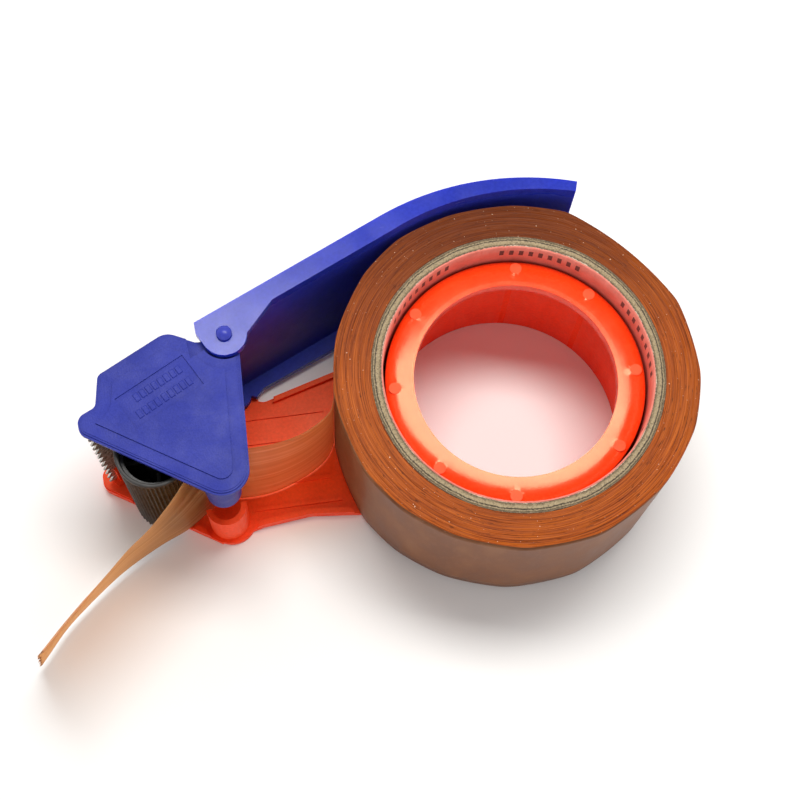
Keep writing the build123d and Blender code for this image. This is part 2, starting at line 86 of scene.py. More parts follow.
def add_camera():
    level = math.cos(CAMERA_ELEVATION)
    back = Vector((math.sin(CAMERA_AZIMUTH) * level, -math.cos(CAMERA_AZIMUTH) * level,
                   math.sin(CAMERA_ELEVATION)))
    right = Vector((math.cos(CAMERA_AZIMUTH), math.sin(CAMERA_AZIMUTH), 0.0))
    up = back.cross(right)
    side = right * math.cos(CAMERA_ROLL) + up * math.sin(CAMERA_ROLL)
    top = up * math.cos(CAMERA_ROLL) - right * math.sin(CAMERA_ROLL)
    data = bpy.data.cameras.new("camera")
    data.lens = LENS
    data.sensor_width = SENSOR_WIDTH
    camera = bpy.data.objects.new("camera", data)
    place = Matrix((side, top, back)).transposed().to_4x4()
    place.translation = TARGET + back * CAMERA_DISTANCE
    camera.matrix_world = place
    bpy.context.scene.collection.objects.link(camera)
    bpy.context.scene.camera = camera


def area_light(name, place, aim, size, power, colour):
    data = bpy.data.lights.new(name, "AREA")
    data.shape = "RECTANGLE"
    data.size, data.size_y = size
    data.energy = power
    data.color = colour
    light = bpy.data.objects.new(name, data)
    light.location = place
    light.rotation_euler = (Vector(aim) - Vector(place)).to_track_quat("-Z", "Y").to_euler()
    bpy.context.scene.collection.objects.link(light)


def set_stops(ramp, stops):
    """Gives a colour ramp its (position, colour) stops."""
    band = ramp.color_ramp.elements
    while len(band) < len(stops):
        band.new(0.5)
    for element, (position, colour) in zip(band, stops):
        element.position = position
        element.color = (*colour, 1.0)


def paint_surroundings(tree):
    """A studio that is dark straight overhead and bright round the sides."""
    where = tree.nodes.new("ShaderNodeTexCoord")
    parts = tree.nodes.new("ShaderNodeSeparateXYZ")
    ramp = tree.nodes.new("ShaderNodeValToRGB")
    background = tree.nodes["Background"]
    set_stops(ramp, [(height, (bright, bright, bright)) for height, bright in SURROUNDINGS])
    tree.links.new(where.outputs["Generated"], parts.inputs[0])
    tree.links.new(parts.outputs["Z"], ramp.inputs["Fac"])
    tree.links.new(ramp.outputs["Color"], background.inputs["Color"])
    background.inputs["Strength"].default_value = 1.0


def add_stage():
    scene = bpy.context.scene
    scene.view_settings.view_transform = "Standard"
    scene.world = bpy.data.worlds.new("studio")
    scene.world.use_nodes = True
    paint_surroundings(scene.world.node_tree)
    area_light("overhead_box", place=(0.03, 0.17, 0.65), aim=(-0.02, 0.0, 0.0), size=(0.46, 0.19),
               power=4.1, colour=(1.0, 0.98, 0.95))
    area_light("front_fill", place=(-0.25, -0.50, 0.45), aim=(-0.03, 0.0, 0.02), size=(0.5, 0.5),
               power=0.30, colour=(1.0, 1.0, 1.0))
    bpy.ops.mesh.primitive_plane_add(size=FLOOR_SIZE, location=(0, 0, -FLOOR_DROP))
    floor = bpy.context.object
    floor.name = "floor"
    floor.data.materials.append(floor_white())


# ---------------------------------------------------------------- material helpers
MIX_SHARE, MIX_A, MIX_B, MIX_RESULT = 0, 6, 7, 2       # places of a colour mix node's sockets


def shade(colour, share):
    """A darker tone of a colour."""
    return tuple(share * part for part in colour)


class Nodes:
    """Short hand for building one material's node tree."""

    def __init__(self, name):
        self.material = bpy.data.materials.new(name)
        self.material.use_nodes = True
        self.tree = self.material.node_tree
        self.shader = self.tree.nodes["Principled BSDF"]
        self.where = self.add("ShaderNodeTexCoord").outputs["Object"]

    def add(self, kind, **settings):
        node = self.tree.nodes.new(kind)
        for key, value in settings.items():
            setattr(node, key, value)
        return node

    def join(self, source, socket):
        self.tree.links.new(source, socket)

    def fill(self, node, values):
        """Sets or links a node's inputs from a dictionary of names or numbers."""
        for key, value in values.items():
            socket = node.inputs[key]
            if isinstance(value, bpy.types.NodeSocket):
                self.join(value, socket)
            else:
                socket.default_value = value

    def math(self, operation, *values):
        node = self.add("ShaderNodeMath", operation=operation)
        self.fill(node, dict(enumerate(values)))
        return node.outputs[0]

    def vector(self, x, y, z=0.0):
        node = self.add("ShaderNodeCombineXYZ")
        self.fill(node, {0: x, 1: y, 2: z})
        return node.outputs[0]

    def position(self):
        """X, Y and Z in the piece's own frame, in metres."""
        parts = self.add("ShaderNodeSeparateXYZ")
        self.join(self.where, parts.inputs[0])
        return parts.outputs

    def polar(self):
        """Radius from the Z axis in metres, angle round it in radians, and Z, in the piece's frame."""
        x, y, z = self.position()
        squares = self.math("ADD", self.math("MULTIPLY", x, x), self.math("MULTIPLY", y, y))
        return self.math("SQRT", squares), self.math("ARCTAN2", y, x), z

    def noise(self, scale, detail=3.0, vector=None, roughness=0.55):
        node = self.add("ShaderNodeTexNoise")
        self.fill(node, {"Vector": vector or self.where, "Scale": scale, "Detail": detail,
                         "Roughness": roughness})
        return node.outputs["Fac"]

    def drawn_noise(self, detail, *coordinates, roughness=0.55):
        """Noise that is drawn out or squeezed along each of its (value, scale) coordinates."""
        scaled = [self.math("MULTIPLY", value, scale) for value, scale in coordinates]
        return self.noise(1.0, detail, self.vector(*scaled), roughness)

    def ramp(self, value, stops):
        """Colours from a value by (position, colour) stops."""
        node = self.add("ShaderNodeValToRGB")
        set_stops(node, stops)
        self.join(value, node.inputs["Fac"])
        return node.outputs["Color"]

    def between(self, value, low, high, out_low, out_high):
        """Out_low where value is low, out_high where it is high, and evenly in between."""
        node = self.add("ShaderNodeMapRange")
        self.fill(node, {"Value": value, "From Min": low, "From Max": high, "To Min": out_low,
                         "To Max": out_high})
        return node.outputs["Result"]

    def mix(self, share, a, b):
        node = self.add("ShaderNodeMix", data_type="RGBA")
        colours = {MIX_A: a, MIX_B: b}
        for key, colour in colours.items():
            if isinstance(colour, tuple):
                colours[key] = (*colour, 1.0)
        self.fill(node, {MIX_SHARE: share, **colours})
        return node.outputs[MIX_RESULT]

    def over(self, tone, colour, value, low, high, most):
        """Lays a colour over a tone: none where value is low, and a share of most where it is high."""
        return self.mix(self.between(value, low, high, 0.0, most), tone, colour)

    def bump(self, height, strength, distance, normal=None):
        node = self.add("ShaderNodeBump")
        self.fill(node, {"Height": height, "Strength": strength, "Distance": distance})
        if normal:
            self.join(normal, node.inputs["Normal"])
        return node.outputs["Normal"]

    def finish(self, **inputs):
        """Sets the shader's inputs, named with underscores for spaces, and gives the material."""
        self.fill(self.shader, {key.replace("_", " ").title(): value for key, value in inputs.items()})
        return self.material


# ---------------------------------------------------------------- moulded plastics
FLANGE_MARK_ANGLES = (-3.0, 42.0, 80.0, 137.0)         # degrees; each mark has another opposite
FLANGE_MARK_CIRCLE_R = 34.6 * MM
FLANGE_MARK_R = 1.75 * MM
MATT_FRAME_BELOW = (36.0 * MM, 42.0 * MM)              # fully rough below the first height
MATT_HANDLE_BELOW = (49.0 * MM, 52.0 * MM)
SCRATCH_STRETCH = 0.08                                 # draws scratches out along X


def frame_matt_areas(n):
    """Rougher parts of the frame: all below the hub's flange, and the round marks on the flange."""
    x, y, z = n.position()
    marks = 0.0
    for degrees in FLANGE_MARK_ANGLES:
        turn = math.radians(degrees)
        c, s = math.cos(turn), math.sin(turn)
        along = n.math("ADD", n.math("MULTIPLY", x, c), n.math("MULTIPLY", y, s))
        aside = n.math("SUBTRACT", n.math("MULTIPLY", y, c), n.math("MULTIPLY", x, s))
        out = n.math("SUBTRACT", n.math("ABSOLUTE", along), FLANGE_MARK_CIRCLE_R)
        squares = n.math("ADD", n.math("MULTIPLY", out, out), n.math("MULTIPLY", aside, aside))
        inside = n.math("LESS_THAN", n.math("SQRT", squares), FLANGE_MARK_R)
        marks = n.math("MAXIMUM", marks, inside)
    below = n.between(z, *MATT_FRAME_BELOW, 1.0, 0.0)
    return (below, 0.36), (marks, 0.34)


def handle_matt_areas(n):
    """The handle's web, below its upper rim, is less polished."""
    z = n.position()[2]
    return ((n.between(z, *MATT_HANDLE_BELOW, 1.0, 0.0), 0.20),)


def moulded(name, colour, roughness, grain, grain_depth, glow=0.0, shine=0.5, tint=(1.0, 1.0, 1.0),
            matt=None, spread=(1.0, 0.25, 0.12), reach=1.5 * MM):
    """Moulded plastic: slight colour drift, fine surface grain, a few scuffs that change the gloss.

    grain is how fine the grain is and grain_depth its height. shine and tint are the strength and
    colour of the reflection. glow is how much light the plastic carries, reach how far, and spread
    how far for each colour. matt gives (area, extra roughness) pairs.
    """
    n = Nodes(name)
    fine = n.noise(grain, 2.0)
    drift = n.math("ADD", n.math("MULTIPLY", n.noise(45.0, 4.0), 0.55), n.math("MULTIPLY", fine, 0.45))
    lifted = tuple(min(1.0, 1.10 * part + 0.004) for part in colour)
    tone = n.ramp(drift, [(0.36, shade(colour, 0.80)), (0.64, lifted)])
    broad = n.noise(160.0)
    x, y, z = n.position()
    scratches = n.noise(900.0, 2.0, n.vector(n.math("MULTIPLY", x, SCRATCH_STRETCH), y, z))
    rough = n.math("ADD", n.between(broad, 0.35, 0.7, roughness * 0.85, roughness * 1.2),
                   n.between(scratches, 0.62, 0.80, 0.0, 0.09))
    for area, extra in (matt(n) if matt else ()):
        rough = n.math("ADD", rough, n.math("MULTIPLY", area, extra))
    normal = n.bump(broad, 0.12, 0.10 * MM, n.bump(fine, 0.6, grain_depth))
    n.shader.inputs["Specular IOR Level"].default_value = shine
    n.shader.inputs["Specular Tint"].default_value = (*tint, 1.0)
    n.shader.inputs["Subsurface Weight"].default_value = glow
    n.shader.inputs["Subsurface Radius"].default_value = spread
    n.shader.inputs["Subsurface Scale"].default_value = reach
    return n.finish(base_color=tone, roughness=rough, normal=normal)


def cover_plastic():
    return moulded("cover_plastic", (0.019, 0.029, 0.265), roughness=0.50, grain=2000.0,
                   grain_depth=0.10 * MM, shine=0.18)


def frame_plastic():
    return moulded("frame_plastic", (1.0, 0.046, 0.003), roughness=0.17, grain=1100.0,
                   grain_depth=0.010 * MM, glow=0.12, tint=(1.0, 0.84, 0.52), matt=frame_matt_areas)


def handle_plastic():
    """Glossy blue that carries light well, blue light the farthest."""
    return moulded("handle_plastic", (0.013, 0.028, 0.37), roughness=0.20, grain=900.0,
                   grain_depth=0.008 * MM, glow=0.45, shine=0.28, matt=handle_matt_areas,
                   spread=(0.15, 0.22, 1.0), reach=4.0 * MM)


def pin_plastic():
    return moulded("pin_plastic", (0.028, 0.038, 0.34), roughness=0.32, grain=1200.0,
                   grain_depth=0.010 * MM, shine=0.3)


def roller_plastic():
    return moulded("roller_plastic", (0.012, 0.012, 0.012), roughness=0.45, grain=1500.0,
                   grain_depth=0.03 * MM)


# ---------------------------------------------------------------- other materials
LINER_STROKES_PER_TURN = 84.0
LINER_GROUPS_PER_TURN = 6.0
LINER_GROUP_TURN = 0.6                                 # radians of a group's own cycle
LINER_STROKE_BAND = (5.0 * MM, 2.2 * MM)               # from this far to this far under the edge
FILM_CLEARER_X = (-88 * MM, -72 * MM)                  # the film is clearer towards the roll


def floor_white():
    """White table with a faint mottle."""
    white = (0.90, 0.89, 0.88)
    n = Nodes("floor_white")
    return n.finish(base_color=n.mix(n.noise(9.0), shade(white, 0.985), white), roughness=0.7)


def zinc_steel():
    pale = (0.62, 0.62, 0.63)
    n = Nodes("zinc_steel")
    tone = n.ramp(n.noise(700.0, 4.0), [(0.35, shade(pale, 0.72)), (0.65, pale)])
    return n.finish(base_color=tone, roughness=n.between(n.noise(400.0), 0.3, 0.7, 0.24, 0.39),
                    metallic=1.0, normal=n.bump(n.noise(1800.0), 0.3, 0.02 * MM))


def mottled_steel():
    """Stamped blade steel: grey blotches and pits on a pale ground."""
    dark, grey, pale = (0.16, 0.15, 0.13), (0.52, 0.50, 0.46), (0.80, 0.78, 0.74)
    n = Nodes("blade_steel")
    blotches = n.noise(900.0, 5.0, roughness=0.7)
    tone = n.ramp(blotches, [(0.36, dark), (0.50, grey), (0.66, pale)])
    pits = n.noise(2600.0, 2.0)
    return n.finish(base_color=tone, roughness=n.between(blotches, 0.3, 0.7, 0.55, 0.33),
                    metallic=0.75, normal=n.bump(pits, 0.5, 0.03 * MM))


def ribbed_rubber():
    n = Nodes("roller_rubber")
    tone = n.ramp(n.noise(260.0, 4.0), [(0.3, (0.020, 0.019, 0.018)), (0.7, (0.040, 0.038, 0.036))])
    return n.finish(base_color=tone, roughness=n.between(n.noise(500.0), 0.3, 0.7, 0.50, 0.66),
                    normal=n.bump(n.noise(2400.0), 0.4, 0.03 * MM))


def nylon():
    n = Nodes("washer_nylon")
    tone = n.ramp(n.noise(300.0), [(0.3, (0.66, 0.64, 0.58)), (0.7, (0.78, 0.77, 0.72))])
    return n.finish(base_color=tone, roughness=0.45, normal=n.bump(n.noise(1500.0), 0.3, 0.02 * MM))


def wound_side():
    """The cut side of the roll: fine rings, darker gaps between wraps and dusty specks.

    It is painted darker towards the handle, at +Y, as painted shade.
    """
    deep, brown, amber = (0.085, 0.012, 0.001), (0.26, 0.046, 0.003), (0.45, 0.100, 0.007)
    faded, gap, frayed = (0.40, 0.105, 0.012), (0.055, 0.012, 0.002), (0.55, 0.22, 0.06)
    shadow, dust = (0.07, 0.013, 0.002), (0.95, 0.72, 0.50)
    n = Nodes("tape_side")
    radius, angle, _ = n.polar()
    cosine, sine = n.math("COSINE", angle), n.math("SINE", angle)
    rings = n.drawn_noise(4.0, (radius, 5200.0), (cosine, 2.6), (sine, 2.6), roughness=0.65)
    dashes = n.drawn_noise(2.0, (radius, 3300.0), (cosine, 16.0), (sine, 16.0))
    tone = n.ramp(rings, [(0.34, deep), (0.48, brown), (0.66, amber)])
    tone = n.over(tone, faded, n.noise(38.0, 2.0), 0.35, 0.75, 0.25)
    tone = n.over(tone, gap, dashes, 0.62, 0.70, 0.80)
    tone = n.over(tone, frayed, dashes, 0.32, 0.25, 0.22)
    # painted shade: the side is darkened towards +Y, the handle's side
    tone = n.over(tone, shadow, sine, 0.1, 1.0, 0.76)
    tone = n.over(tone, dust, n.noise(1500.0, 1.0), 0.735, 0.80, 0.8)
    n.shader.inputs["Specular IOR Level"].default_value = 0.08
    return n.finish(base_color=tone, roughness=n.between(rings, 0.3, 0.7, 0.48, 0.34),
                    normal=n.bump(rings, 0.55, 0.10 * MM))


def wound_face():
    """The outside of the roll: taupe film with faint upright wrinkles and trapped air."""
    deep, taupe, pale = (0.165, 0.057, 0.022), (0.215, 0.082, 0.034), (0.28, 0.125, 0.060)
    n = Nodes("tape_face")
    _, angle, z = n.polar()
    cosine, sine = n.math("COSINE", angle), n.math("SINE", angle)
    wrinkles = n.drawn_noise(3.0, (cosine, 26.0), (sine, 26.0), (z, 260.0))
    broad = n.drawn_noise(3.0, (cosine, 5.0), (sine, 5.0), (z, 50.0))
    tone = n.ramp(broad, [(0.30, deep), (0.55, taupe), (0.75, pale)])
    tone = n.over(tone, (0.30, 0.125, 0.058), wrinkles, 0.50, 0.80, 0.35)
    n.shader.inputs["Specular IOR Level"].default_value = 0.15
    return n.finish(base_color=tone, roughness=n.between(broad, 0.3, 0.7, 0.36, 0.50),
                    normal=n.bump(broad, 0.2, 0.3 * MM))


def thin_film():
    """Loose film with lengthwise streaks: tan, lets light and what is behind it through."""
    brown, tan, pale = (0.36, 0.155, 0.050), (0.54, 0.27, 0.105), (0.76, 0.48, 0.26)
    n = Nodes("tape_film")
    x, y, z = n.position()
    streaks = n.drawn_noise(3.0, (x, 22.0), (y, 22.0), (z, 520.0))
    tone = n.ramp(streaks, [(0.36, brown), (0.52, tan), (0.66, pale)])
    material = n.finish(base_color=tone, roughness=0.28, normal=n.bump(streaks, 0.25, 0.15 * MM))
    glow = n.add("ShaderNodeBsdfTranslucent")
    glow.inputs["Color"].default_value = (0.90, 0.56, 0.27, 1.0)
    clear = n.add("ShaderNodeBsdfTransparent")
    clear.inputs["Color"].default_value = (0.95, 0.66, 0.38, 1.0)
    lit = n.add("ShaderNodeMixShader")
    n.fill(lit, {0: 0.45, 1: n.shader.outputs[0], 2: glow.outputs[0]})
    seen = n.add("ShaderNodeMixShader")
    clearness = n.between(x, *FILM_CLEARER_X, 0.46, 0.64)
    n.fill(seen, {0: clearness, 1: lit.outputs[0], 2: clear.outputs[0]})
    n.join(seen.outputs[0], n.tree.nodes["Material Output"].inputs["Surface"])
    return material


def layered_board():
    """Cut end of the core: pale and dark plies of grey-brown board, torn at the inner edge."""
    pale, mid, dark = (0.34, 0.26, 0.15), (0.19, 0.14, 0.075), (0.050, 0.036, 0.022)
    edge, crack, outer = (0.66, 0.52, 0.38), (0.10, 0.07, 0.045), (0.26, 0.18, 0.10)
    fibre_gap, fibre = (0.03, 0.024, 0.018), (0.60, 0.50, 0.36)
    n = Nodes("core_board")
    radius, angle, _ = n.polar()
    ragged = n.noise(1400.0, 4.0)
    wander = n.drawn_noise(2.0, (n.math("COSINE", angle), 4.0), (n.math("SINE", angle), 4.0))
    depth = n.between(radius, LINER_R, CORE_R, 0.0, 1.0)
    depth = n.math("ADD", depth, n.between(ragged, 0.3, 0.7, -0.05, 0.05))
    depth = n.math("ADD", depth, n.between(wander, 0.3, 0.7, -0.07, 0.07))
    tone = n.ramp(depth, [(0.00, edge), (0.05, crack), (0.14, mid), (0.30, pale), (0.52, pale),
                          (0.58, dark), (0.64, dark), (0.70, pale), (0.80, mid), (0.86, dark),
                          (0.93, outer), (1.00, dark)])
    fibres = n.noise(2100.0, 4.0, roughness=0.7)
    tone = n.over(tone, fibre_gap, fibres, 0.50, 0.70, 0.80)
    tone = n.over(tone, fibre, fibres, 0.42, 0.30, 0.45)
    return n.finish(base_color=tone, roughness=0.9, normal=n.bump(fibres, 0.9, 0.15 * MM))


def printed_liner():
    """Thin paper inside the core with groups of plain short strokes near its edge; its pink is partly
    painted reflection of the orange flange.
    """
    n = Nodes("liner_paper")
    _, angle, z = n.polar()
    marks = n.math("GREATER_THAN", n.math("SINE", n.math("MULTIPLY", angle, LINER_STROKES_PER_TURN)), 0.15)
    cycle = n.math("ADD", n.math("MULTIPLY", angle, LINER_GROUPS_PER_TURN), LINER_GROUP_TURN)
    groups = n.math("GREATER_THAN", n.math("SINE", cycle), -0.45)
    above = n.math("GREATER_THAN", z, TAPE_TOP - LINER_STROKE_BAND[0])
    below = n.math("LESS_THAN", z, TAPE_TOP - LINER_STROKE_BAND[1])
    for gate in (groups, above, below):
        marks = n.math("MULTIPLY", marks, gate)
    # The paper's pink is made redder and darker than bare paper: part its own colour, part painted
    # reflection of the orange flange.
    paper = n.ramp(n.noise(240.0, 4.0), [(0.3, (0.62, 0.15, 0.105)), (0.7, (0.76, 0.22, 0.165))])
    tone = n.mix(n.math("MULTIPLY", marks, 0.85), paper, (0.03, 0.02, 0.02))
    return n.finish(base_color=tone, roughness=0.55, normal=n.bump(n.noise(1500.0), 0.3, 0.04 * MM))


# ---------------------------------------------------------------- mesh helpers
def new_piece(name, verts, faces, body, materials, pick=None, smooth=True):
    """Links a mesh piece, gives it its materials and lets it ride on its body.

    pick gives the number of the material for a face; without it the first is used.
    """
    mesh = bpy.data.meshes.new(name)
    mesh.from_pydata([tuple(v) for v in verts], [], faces)
    for material in materials:
        mesh.materials.append(material)
    for polygon in mesh.polygons:
        polygon.use_smooth = smooth
        polygon.material_index = pick(polygon) if pick else 0
    mesh.validate()
    piece = bpy.data.objects.new(name, mesh)
    bpy.context.scene.collection.objects.link(piece)
    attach(piece, body)
    return piece


def round_steps(turns):
    """Cosine and sine at each of a number of even steps round a full turn."""
    angles = (FULL_TURN * i / turns for i in range(turns))
    return [(math.cos(angle), math.sin(angle)) for angle in angles]


def ring_faces(turns, rows):
    """Quads of a closed loop of rows turned all the way round."""
    faces = []
    for i in range(turns):
        j = (i + 1) % turns
        for a in range(rows):
            b = (a + 1) % rows
            faces.append((i * rows + a, j * rows + a, j * rows + b, i * rows + b))
    return faces


def ripple(x, y, z=0.0):
    """Smooth noise about zero, the same every run."""
    return noise.noise(Vector((x, y, z)))


# ---------------------------------------------------------------- the roll of tape
# Corners of the roll's outline: degrees round the roll, and how far inside the full radius in mm.
ROLL_CORNERS = [(17, 1.1), (64, 0.1), (82, 0.7), (103, 0.7), (122, -0.2), (138, 0.0), (161, 0.1),
                (180, 0.1), (207, 0.1), (222, 0.5), (240, 1.1), (262, 1.2), (286, 1.1), (312, 1.2),
                (333, 1.0), (351, 1.0)]
FLATNESS = 0.42                        # 0 keeps the arc between two corners, 1 a straight chord
CORNER_SMOOTHING = 6                   # rounds in which each step takes its neighbours' mean
OUTSIDE, TOP, BOTTOM = 0, 1, -1        # where a row of a ring's profile lies
WRAP_STEP = 0.16 * MM                  # most that one wrap lies deeper than the roll's side
SIDE_WAVE = 0.10 * MM
SIDE_INSET = 0.10 * MM
WRAP_RIPPLE = 0.06 * MM
SIDE_CLEARANCE = 0.02 * MM
LINER_THICKNESS = 0.5 * MM


def roll_flats(angle):
    """How far the wound film's outline falls inside the full circle at an angle."""
    degrees = math.degrees(angle) % 360
    (first, first_inset), (last, last_inset) = ROLL_CORNERS[0], ROLL_CORNERS[-1]
    wrapped = [(last - 360, last_inset), *ROLL_CORNERS, (first + 360, first_inset)]
    for (start, a), (end, b) in zip(wrapped, wrapped[1:]):
        if start <= degrees < end:
            share = (degrees - start) / (end - start)
            half = math.radians(end - start) / 2
            away = half * (2 * share - 1)
            chord = ROLL_R * (1 - math.cos(half) / math.cos(away))
            return (a + (b - a) * share) * MM + FLATNESS * chord
    return 0.0


def make_winding():
    """The wound film: an uneven outline, and rings at slightly different depths on its cut sides."""
    turns, rings, face_rows = 432, 54, 12
    band = ROLL_R - CORE_R
    flats = [roll_flats(FULL_TURN * i / turns) for i in range(turns)]
    for _ in range(CORNER_SMOOTHING):
        flats = [(flats[i - 1] + flats[i] + flats[(i + 1) % turns]) / 3 for i in range(turns)]
    # Each row of the profile is (share of the way out, height, where it lies).
    profile = [(1.0, TAPE_BOTTOM + TAPE_WIDTH * (k / face_rows), OUTSIDE) for k in range(face_rows + 1)]
    profile += [(1.0 - k / rings, TAPE_TOP, TOP) for k in range(rings + 1)]
    profile += [(k / rings, TAPE_BOTTOM, BOTTOM) for k in range(rings + 1)]
    steps = [random.uniform(0.0, WRAP_STEP) for _ in profile]
    verts = []
    for flat, (x, y) in zip(flats, round_steps(turns)):
        for step, (share, height, end) in zip(steps, profile):
            radius = CORE_R + band * share - flat * share ** 2
            if end != OUTSIDE:
                wave = SIDE_WAVE * ripple(6 * x, 6 * y, share * 9)
                radius -= SIDE_INSET
                height -= end * (step + abs(wave) + SIDE_CLEARANCE)
            if 0 < share < 1:
                radius += WRAP_RIPPLE * ripple(30 * x, 30 * y, share * 40)
            radius = max(CORE_R, radius)
            verts.append((radius * x, radius * y, height))
    piece = new_piece("wound_tape", verts, ring_faces(turns, len(profile)), "roll",
                      [wound_side(), wound_face()], pick=lambda face: int(abs(face.normal.z) < 0.4))
    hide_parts("tape_winding")


def make_core():
    """The board core, its ends grooved between plies and torn towards the inside."""
    turns, rings, grooves = 480, 16, 3
    wall = CORE_R - LINER_R
    profile = [(k / rings, TAPE_TOP, TOP) for k in range(rings, -1, -1)]
    profile += [(k / rings, TAPE_BOTTOM, BOTTOM) for k in range(rings + 1)]
    verts = []
    for x, y in round_steps(turns):
        for share, height, end in profile:
            radius = LINER_R + wall * share
            torn = 0.16 * MM * abs(ripple(60 * x, 60 * y, share * 3)) * (1.2 - share)
            ply = 0.10 * MM * abs(ripple(9 * x, 9 * y, share * 14))
            groove = 0.10 * MM * (0.5 + 0.5 * math.cos(FULL_TURN * share * grooves))
            verts.append((radius * x, radius * y, height - end * (torn + ply + groove)))
    piece = new_piece("board_core", verts, ring_faces(turns, len(profile)), "roll",
                      [layered_board()])
    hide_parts("tape_core")


def make_liner():
    """The core's inner paper, with a ragged upper edge."""
    turns = 720
    inner = LINER_R - LINER_THICKNESS
    outer = LINER_R - 0.05 * MM
    verts = []
    for x, y in round_steps(turns):
        ragged = 0.45 * MM * abs(ripple(34 * x, 34 * y)) + 0.35 * MM * abs(ripple(110 * x, 110 * y, 3))
        profile = ((outer, TAPE_TOP - ragged), (inner, TAPE_TOP - ragged - 0.1 * MM),
                   (inner, TAPE_TOP - 6.0 * MM), (inner, TAPE_BOTTOM + 0.4 * MM),
                   (outer, TAPE_BOTTOM + 0.3 * MM))
        verts += [(radius * x, radius * y, height) for radius, height in profile]
    piece = new_piece("printed_liner", verts, ring_faces(turns, 5), "roll",
                      [printed_liner()])
    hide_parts("core_liner")


# ---------------------------------------------------------------- loose film
# Plan points in mm of the film's upper and lower edge, from the roll past the guide post to the cut
# end. The two lists go together point by point.
UPPER_EDGE = [(-52.4, -1.2), (-53.6, -4.6), (-57.0, -7.6), (-62.5, -10.4), (-69.0, -12.0),
              (-76.5, -12.5), (-84.0, -12.2), (-89.0, -13.2), (-93.4, -17.2), (-98.5, -23.6),
              (-105.0, -30.6), (-112.5, -37.0), (-121.0, -45.4), (-129.0, -53.4), (-135.7, -60.2)]
LOWER_EDGE = [(-52.2, 1.6), (-54.2, -2.2), (-58.0, -5.6), (-64.5, -9.0), (-71.5, -11.4),
              (-78.0, -12.2), (-84.0, -12.0), (-88.6, -12.6), (-92.6, -15.2), (-99.0, -19.6),
              (-107.0, -23.2), (-117.8, -29.0), (-128.0, -36.6), (-137.5, -45.3), (-145.4, -54.8)]
FILM_THICKNESS = 0.08 * MM
FILM_EDGE_GAP = 0.2                    # mm that each edge keeps inside the tape's width
LOOSE_FROM = 0.60                      # share of the way from which the film hangs free
CUT_TEETH = 13
CUT_TOOTH_DEPTH = 1.4                  # mm


def curve_point(points, share):
    """A Catmull-Rom curve through plan points, by share of their number."""
    place = share * (len(points) - 1)
    k = min(int(place), len(points) - 2)
    t = place - k
    p0, p1, p2, p3 = (Vector(points[max(0, min(len(points) - 1, k + d))]) for d in (-1, 0, 1, 2))
    return 0.5 * (2 * p1 + (p2 - p0) * t + (2 * p0 - 5 * p1 + 4 * p2 - p3) * t * t
                  + (3 * p1 - p0 - 3 * p2 + p3) * t ** 3)


def film_bow(share, t):
    """How far in mm the film bows out, by share of its run and share of its width."""
    loose = max(0.0, (share - LOOSE_FROM) / (1 - LOOSE_FROM))
    bow = math.sin(math.pi * t) * (1.1 * loose) + 0.35 * loose * ripple(share * 16, t * 3)
    waves = 0.55 * loose * ripple(share * 3, t * 9, 4.0)
    if share > 0.4:
        waves += 0.15 * ripple(share * 5, t * 7, 9.0)
    return bow + waves


def make_film():
    """The film from the roll to its toothed cut end, one thin strip."""
    stations, rows = 150, 26
    ahead = (curve_point(UPPER_EDGE, 1.0) - curve_point(UPPER_EDGE, 0.98)).normalized()
    low = TAPE_BOTTOM / MM + FILM_EDGE_GAP
    width = TAPE_WIDTH / MM - 2 * FILM_EDGE_GAP
    verts = []
    for i in range(stations + 1):
        share = i / stations
        upper, lower = curve_point(UPPER_EDGE, share), curve_point(LOWER_EDGE, share)
        run = curve_point(UPPER_EDGE, min(1, share + 0.01)) - curve_point(UPPER_EDGE, max(0, share - 0.01))
        across = Vector((run.y, -run.x)).normalized()
        for j in range(rows + 1):
            t = j / rows
            point = lower.lerp(upper, t)
            if i == stations:
                tooth = abs((t * CUT_TEETH) % 1.0 - 0.5) * 2
                point = point - ahead * (CUT_TOOTH_DEPTH * tooth)
            point = point + across * film_bow(share, t)
            verts.append((point.x * MM, point.y * MM, (low + width * t) * MM))
    faces = []
    for i in range(stations):
        for j in range(rows):
            a = i * (rows + 1) + j
            faces.append((a, a + rows + 1, a + rows + 2, a + 1))
    piece = new_piece("loose_film", verts, faces, "frame", [thin_film()])
    thick = piece.modifiers.new("thickness", "SOLIDIFY")
    thick.thickness = FILM_THICKNESS
    thick.offset = 0.0
    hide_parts("tape_web", "tape_tail")


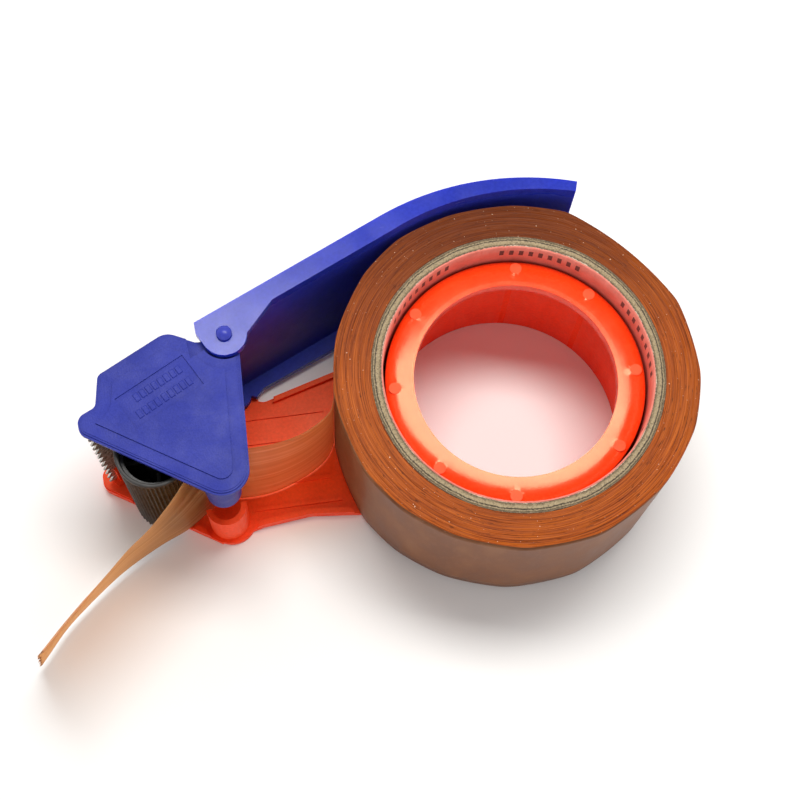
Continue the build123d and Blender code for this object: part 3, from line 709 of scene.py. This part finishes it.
# ---------------------------------------------------------------- feed roller
def make_sleeve():
    """The roller's rubber sleeve: grooved along its length, with a plain band at the top."""
    ribs, steps_per_rib = 54, 8
    turns = ribs * steps_per_rib
    groove_depth = 0.55 * MM
    plain_band = 1.3 * MM
    lip = 0.35 * MM
    inner = SLEEVE_INNER_R + 0.02 * MM
    top, bottom = ROLLER_TOP, ROLLER_BOTTOM
    # Each row of the profile is (radius, height, share of the grooves' depth).
    profile = [(inner, bottom, 0), (ROLLER_R - lip, bottom, 1), (ROLLER_R, bottom + lip, 1)]
    profile += [(ROLLER_R, bottom + (top - bottom - plain_band) * k / 4, 1) for k in range(1, 4)]
    profile += [(ROLLER_R, top - plain_band - 0.3 * MM, 1), (ROLLER_R, top - plain_band, 0),
                (ROLLER_R, top - lip, 0), (ROLLER_R - 0.12 * MM, top - 0.12 * MM, 0),
                (ROLLER_R - lip, top, 0), (inner + 0.25 * MM, top, 0), (inner, top - 0.25 * MM, 0)]
    verts = []
    for i, (x, y) in enumerate(round_steps(turns)):
        wave = 0.5 - 0.5 * math.cos(FULL_TURN * (i % steps_per_rib) / steps_per_rib)
        groove = groove_depth * wave ** 0.6
        for radius, height, grooved in profile:
            r = radius - groove * grooved
            verts.append((ROLLER_CENTRE.x + r * x, ROLLER_CENTRE.y + r * y, height))
    piece = new_piece("ribbed_sleeve", verts, ring_faces(turns, len(profile)), "feed_roller",
                      [ribbed_rubber()])
    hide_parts("roller_sleeve")


# ---------------------------------------------------------------- bars on the cover, in mm
LABEL_CENTRE = (-99.3, 6.1)
LABEL_ANGLE = 28.6                     # degrees
LABEL_FLOOR = 53.0                     # height of the recess that the bars stand in
BAR_WIDTH = 1.45
BAR_DEPTH = 2.5
BAR_PITCH = 1.95
BAR_CHAMFER = 0.18
BAR_HEIGHTS = (-0.1, 0.12, 0.26)       # foot, start of the chamfer and top, from the recess's floor
# For each row: its distance from the label's middle, and its bars' places in pitches.
BAR_ROWS = ((2.3, range(-3, 5)), (-2.2, (-4, -3, -2, -1, 0.2, 1.2, 2.2, 3.2, 4.2)))


def make_label_bars(material):
    """Two rows of plain raised bars in the cover's recess."""
    turn = Matrix.Rotation(math.radians(LABEL_ANGLE), 2)
    insets = (0.0, 0.0, BAR_CHAMFER)
    corners = ((-1, -1), (1, -1), (1, 1), (-1, 1))
    verts, faces = [], []
    for row, places in BAR_ROWS:
        for place in places:
            start = len(verts)
            for inset, height in zip(insets, BAR_HEIGHTS):
                for side, end in corners:
                    local = Vector((place * BAR_PITCH + side * (BAR_WIDTH / 2 - inset),
                                    row + end * (BAR_DEPTH / 2 - inset)))
                    point = turn @ local + Vector(LABEL_CENTRE)
                    verts.append((point.x * MM, point.y * MM, (LABEL_FLOOR + height) * MM))
            for ring in (0, 4):
                for k in range(4):
                    a, b = start + ring + k, start + ring + (k + 1) % 4
                    faces.append((a, b, b + 4, a + 4))
            faces.append(tuple(start + 8 + k for k in range(4)))
            faces.append(tuple(start + k for k in reversed(range(4))))
    new_piece("label_bars", verts, faces, "frame", [material], smooth=False)


# ---------------------------------------------------------------- CAD parts that keep their shape
EDGE_ANGLE = math.radians(32.0)        # sharper edges than this are rounded
WELD_DISTANCE = 0.002 * MM
EDGE_ROUNDING = {                      # node: width of the rounding, and its segments
    "base_frame": (0.25 * MM, 3),
    "cover_plate": (0.14 * MM, 3),
    "handle": (0.8 * MM, 4),
    "hinge_pin": (0.15 * MM, 3),
    "roller_core": (0.20 * MM, 3),
}


def round_edges(node, width, segments):
    """Joins the mesh's split corners and rounds its edges, by modifiers only."""
    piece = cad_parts[node]
    weld = piece.modifiers.new("join", "WELD")
    weld.merge_threshold = WELD_DISTANCE
    bevel = piece.modifiers.new("round", "BEVEL")
    bevel.limit_method = "ANGLE"
    bevel.angle_limit = EDGE_ANGLE
    bevel.width = width
    bevel.segments = segments
    bevel.use_clamp_overlap = True
    bevel.harden_normals = True


def dress_cad():
    """Gives the CAD parts their materials and rounded edges, and the cover its bars."""
    cover, zinc = cover_plastic(), zinc_steel()
    looks = {
        "base_frame": frame_plastic(), "cover_plate": cover, "handle": handle_plastic(),
        "hinge_pin": pin_plastic(), "hinge_pin_clip": zinc, "roller_axle": zinc,
        "roller_core": roller_plastic(), "roller_washers": nylon(), "blade": mottled_steel(),
        "blade_rivets": zinc, "cover_screws": zinc,
    }
    for node, material in looks.items():
        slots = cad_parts[node].data.materials
        slots.clear()
        slots.append(material)
    for node, (width, segments) in EDGE_ROUNDING.items():
        round_edges(node, width, segments)
    make_label_bars(cover)


add_camera()
add_stage()
dress_cad()
make_winding()
make_core()
make_liner()
make_sleeve()
make_film()
